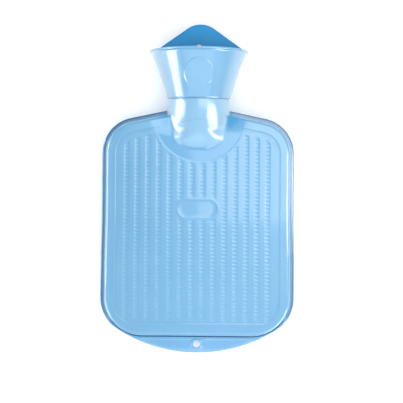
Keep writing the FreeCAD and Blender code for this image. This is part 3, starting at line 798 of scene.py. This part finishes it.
class Nodes:
    def __init__(self, name):
        self.material = bpy.data.materials.new(name)
        self.material.use_nodes = True
        self.tree = self.material.node_tree
        self.tree.nodes.clear()
        self.out = self.add("ShaderNodeOutputMaterial")
        self.shader = self.add("ShaderNodeBsdfPrincipled")
        self.link(self.shader, "BSDF", self.out, "Surface")
        self.place = self.add("ShaderNodeTexCoord")

    def add(self, kind, **values):
        node = self.tree.nodes.new(kind)
        for key, value in values.items():
            if hasattr(node, key):
                setattr(node, key, value)
            else:
                node.inputs[key.replace("_", " ")].default_value = value
        return node

    def link(self, a, out, b, into):
        self.tree.links.new(a.outputs[out], b.inputs[into])

    def noise(self, scale, detail=3.0, rough=0.5, stretch=None):
        n = self.add("ShaderNodeTexNoise")
        n.inputs["Scale"].default_value = scale
        n.inputs["Detail"].default_value = detail
        n.inputs["Roughness"].default_value = rough
        if stretch:
            m = self.add("ShaderNodeMapping")
            m.inputs["Scale"].default_value = stretch
            self.link(self.place, "Object", m, "Vector")
            self.link(m, "Vector", n, "Vector")
        else:
            self.link(self.place, "Object", n, "Vector")
        return n

    def ramp(self, source, out, stops):
        r = self.add("ShaderNodeValToRGB")
        r.color_ramp.elements[0].position = stops[0][0]
        r.color_ramp.elements[0].color = stops[0][1]
        r.color_ramp.elements[1].position = stops[-1][0]
        r.color_ramp.elements[1].color = stops[-1][1]
        for at, colour in stops[1:-1]:
            e = r.color_ramp.elements.new(at)
            e.color = colour
        self.link(source, out, r, "Fac")
        return r

    def bump(self, parts):
        last = None
        for node, strength, distance in parts:
            b = self.add("ShaderNodeBump")
            b.inputs["Strength"].default_value = strength
            b.inputs["Distance"].default_value = distance
            self.link(node, "Fac", b, "Height")
            if last:
                self.link(last, "Normal", b, "Normal")
            last = b
        self.link(last, "Normal", self.shader, "Normal")


def grey(v):
    return (v, v, v, 1.0)


def soft_moulding():
    """Glossy soft light blue moulding: a little milky, with a faint cloudiness and an uneven sheen; painted shade
    deepens the blue in seams, grooves and the dish, and a painted sheen pales the flanks.
    """
    n = Nodes("soft_blue_moulding")
    cloud = n.noise(14.0, 4.0, 0.55)
    colour = n.ramp(cloud, "Fac", [(0.3, (0.128, 0.364, 0.592, 1)), (0.5, (0.140, 0.377, 0.606, 1)), (0.72, (0.154, 0.392, 0.622, 1))])
    # painted shade: this attribute mixes in the deeper blue of the seams, grooves, lines and left side
    deep = n.add("ShaderNodeAttribute")
    deep.attribute_name = "painted_shade"
    # painted sheen: a pale blue mixed in on the flanks of the neck and funnel, in place of the reflection there
    sheen_mask = n.add("ShaderNodeAttribute")
    sheen_mask.attribute_name = "painted_sheen"
    pale = n.add("ShaderNodeMixRGB")
    pale.inputs["Color2"].default_value = (0.43, 0.66, 0.81, 1)
    n.link(sheen_mask, "Fac", pale, "Fac")
    n.link(colour, "Color", pale, "Color1")
    # painted shade: a darker, deeper blue mixed in over the dish beside the neck and the collar
    clear = n.add("ShaderNodeAttribute")
    clear.attribute_name = "painted_dish_shade"
    blue = n.add("ShaderNodeMixRGB")
    blue.inputs["Color2"].default_value = (0.043, 0.30, 0.567, 1)
    n.link(clear, "Fac", blue, "Fac")
    n.link(pale, "Color", blue, "Color1")
    # painted shade colour, mixed in where shade falls in seams, grooves and lines
    mix = n.add("ShaderNodeMixRGB")
    mix.inputs["Color2"].default_value = (0.012, 0.12, 0.25, 1)
    n.link(deep, "Fac", mix, "Fac")
    n.link(blue, "Color", mix, "Color1")
    n.link(mix, "Color", n.shader, "Base Color")
    uneven = n.noise(55.0, 5.0, 0.6)
    rough = n.ramp(uneven, "Fac", [(0.25, grey(0.28)), (0.75, grey(0.34))])
    n.link(rough, "Color", n.shader, "Roughness")
    n.shader.inputs["IOR"].default_value = 1.52
    n.shader.inputs["Coat Weight"].default_value = 0.8
    n.shader.inputs["Coat Roughness"].default_value = 0.05
    n.shader.inputs["Coat IOR"].default_value = 1.5
    n.shader.inputs["Sheen Weight"].default_value = 0.35
    n.shader.inputs["Sheen Roughness"].default_value = 0.35
    n.shader.inputs["Sheen Tint"].default_value = (0.86, 0.94, 1.0, 1)
    n.shader.inputs["Subsurface Weight"].default_value = 0.25
    n.shader.inputs["Subsurface Radius"].default_value = (0.5, 0.8, 1.0)
    n.shader.inputs["Subsurface Scale"].default_value = 0.003
    n.bump([(n.noise(38.0, 2.0, 0.5), 0.12, 0.0004), (n.noise(900.0, 2.0, 0.5), 0.10, 0.00004)])
    return n.material


def hard_plastic(name, low, mid, high, rough=(0.14, 0.22), grain=700.0, shine=0.5):
    n = Nodes(name)
    cloud = n.noise(22.0, 3.0, 0.5)
    colour = n.ramp(cloud, "Fac", [(0.3, low), (0.5, mid), (0.72, high)])
    n.link(colour, "Color", n.shader, "Base Color")
    uneven = n.noise(80.0, 5.0, 0.6)
    r = n.ramp(uneven, "Fac", [(0.3, grey(rough[0])), (0.75, grey(rough[1]))])
    n.link(r, "Color", n.shader, "Roughness")
    n.shader.inputs["IOR"].default_value = 1.5
    n.shader.inputs["Specular IOR Level"].default_value = shine
    n.bump([(n.noise(46.0, 2.0, 0.5), 0.08, 0.0004), (n.noise(grain, 2.0, 0.5), 0.08, 0.00003)])
    return n.material


def rubber(name, low, high):
    n = Nodes(name)
    colour = n.ramp(n.noise(60.0, 5.0, 0.6), "Fac", [(0.3, low), (0.7, high)])
    n.link(colour, "Color", n.shader, "Base Color")
    r = n.ramp(n.noise(200.0, 4.0, 0.6), "Fac", [(0.3, grey(0.5)), (0.7, grey(0.68))])
    n.link(r, "Color", n.shader, "Roughness")
    n.bump([(n.noise(1500.0, 3.0, 0.6), 0.25, 0.00006)])
    return n.material


def dress(obj, material):
    obj.data.materials.clear()
    obj.data.materials.append(material)


bottle.data.materials.append(soft_moulding())
dress(nodes["stopper"], hard_plastic("deep_blue_plastic", (0.011, 0.235, 0.50, 1), (0.014, 0.25, 0.535, 1), (0.019, 0.27, 0.565, 1), (0.36, 0.48), 700.0, 0.2))
dress(nodes["neck_insert"], hard_plastic("milky_plastic", (0.60, 0.66, 0.70, 1), (0.66, 0.72, 0.76, 1), (0.72, 0.77, 0.80, 1), (0.25, 0.36)))
dress(nodes["sealing_washer"], rubber("pale_rubber", (0.50, 0.52, 0.53, 1), (0.58, 0.60, 0.61, 1)))

# ------------------------------------------------------------ floor and light

floor_mesh = bpy.data.meshes.new("floor")
floor_mesh.from_pydata([(-6, -6, 0), (6, -6, 0), (6, 6, 0), (-6, 6, 0)], [], [(0, 1, 2, 3)])
floor = bpy.data.objects.new("floor", floor_mesh)
bpy.context.scene.collection.objects.link(floor)
n = Nodes("pale_floor")
n.link(n.ramp(n.noise(3.0, 3.0, 0.5), "Fac", [(0.3, (0.925, 0.93, 0.935, 1)), (0.7, (0.945, 0.945, 0.945, 1))]), "Color", n.shader, "Base Color")
n.shader.inputs["Roughness"].default_value = 0.65
n.shader.inputs["Specular IOR Level"].default_value = 0.15
n.shader.inputs["Emission Color"].default_value = (1.0, 1.0, 1.0, 1)
n.shader.inputs["Emission Strength"].default_value = 0.16
n.bump([(n.noise(260.0, 3.0, 0.5), 0.04, 0.0002)])
floor.data.materials.append(n.material)

world = bpy.data.worlds.new("studio")
bpy.context.scene.world = world
world.use_nodes = True
world.node_tree.nodes["Background"].inputs["Color"].default_value = (0.97, 0.985, 1.0, 1)
world.node_tree.nodes["Background"].inputs["Strength"].default_value = 0.58


def lamp(name, azimuth, elevation, distance, size, power, aim=(0.0, 40.0, 10.0), only=None, roll=0.0, shape="RECTANGLE"):
    """A soft panel round the bottle. Azimuth turns from the camera's side towards the right,
    elevation towards the neck, both in degrees; distance and size in metres."""
    a, e = math.radians(azimuth), math.radians(elevation)
    way = Vector((math.sin(a) * math.cos(e), math.sin(e), math.cos(a) * math.cos(e)))
    centre = Vector(aim) * 0.001
    data = bpy.data.lights.new(name, "AREA")
    data.shape = shape
    data.size, data.size_y = size
    data.energy = power
    obj = bpy.data.objects.new(name, data)
    # the panel's own X lies level across the view, its own Y towards the neck
    side = Vector((0.0, 1.0, 0.0)).cross(way).normalized()
    up = way.cross(side)
    turn = Matrix((side, up, way)).transposed().to_4x4() @ Matrix.Rotation(math.radians(roll), 4, "Z")
    obj.matrix_world = LAY @ Matrix.Translation(centre + way * distance) @ turn
    bpy.context.scene.collection.objects.link(obj)
    obj.visible_camera = False
    if only == "gloss":
        obj.visible_diffuse = False
        obj.visible_transmission = False
    if only == "soft":
        obj.visible_glossy = False
    return obj


# broad even light from over the bottle
lamp("overhead", 4, -10, 1.9, (1.6, 1.6), 34.5, only="soft")
# large soft panel at the upper right, a pale veil over the body's upper right half
lamp("upper_right", 19.5, 18, 1.6, (1.2, 1.16), 13.5, only="gloss")
# wide dim panel towards the tab, a veil over the funnel's front and the end of the neck
lamp("low_veil", 0, -38, 1.6, (2.3, 0.95), 10.5, only="gloss")
# panels at the left: the long bright band down the funnel, its end under the neck's
# line, and the thin bright strip along the body's left side
lamp("left_low", -83, -24, 1.4, (1.2, 0.42), 18.5, aim=(-20.0, 90.0, 25.0), only="gloss", roll=-45.0)
lamp("left_middle", -70, 0, 2.5, (2.0, 0.40), 20.0, aim=(-70.0, -12.0, 12.0), only="gloss")
lamp("left_high", -72.0, 7, 0.36, (0.17, 0.13), 0.70, aim=(-14.0, 60.0, 20.0), only="gloss", shape="ELLIPSE")
# oval window at the right, the bright spot on the neck
lamp("right_window", 50, -6.5, 0.42, (0.31, 0.135), 1.2, aim=(10.0, 54.0, 22.0), only="gloss", shape="ELLIPSE")
# small low panel beyond the lower right corner
lamp("right_low", 80, -42, 0.35, (0.30, 0.34), 2.9, aim=(60.0, -100.0, 5.0), only="gloss")

# --------------------------------------------------------------------- camera

cam_data = bpy.data.cameras.new("camera")
cam_data.sensor_width = 36.0
cam_data.lens = 36.0 / (403 * 0.78 / 1072.0)
cam_data.clip_start, cam_data.clip_end = 0.01, 50.0
camera = bpy.data.objects.new("camera", cam_data)
bpy.context.scene.collection.objects.link(camera)
camera.matrix_world = LAY @ Matrix.Translation((0.0029, -0.01006, 1.072)) @ Matrix.Rotation(math.radians(0.5), 4, "Z")
bpy.context.scene.camera = camera
bpy.context.scene.view_settings.view_transform = "Standard"
bpy.context.scene.view_settings.look = "None"
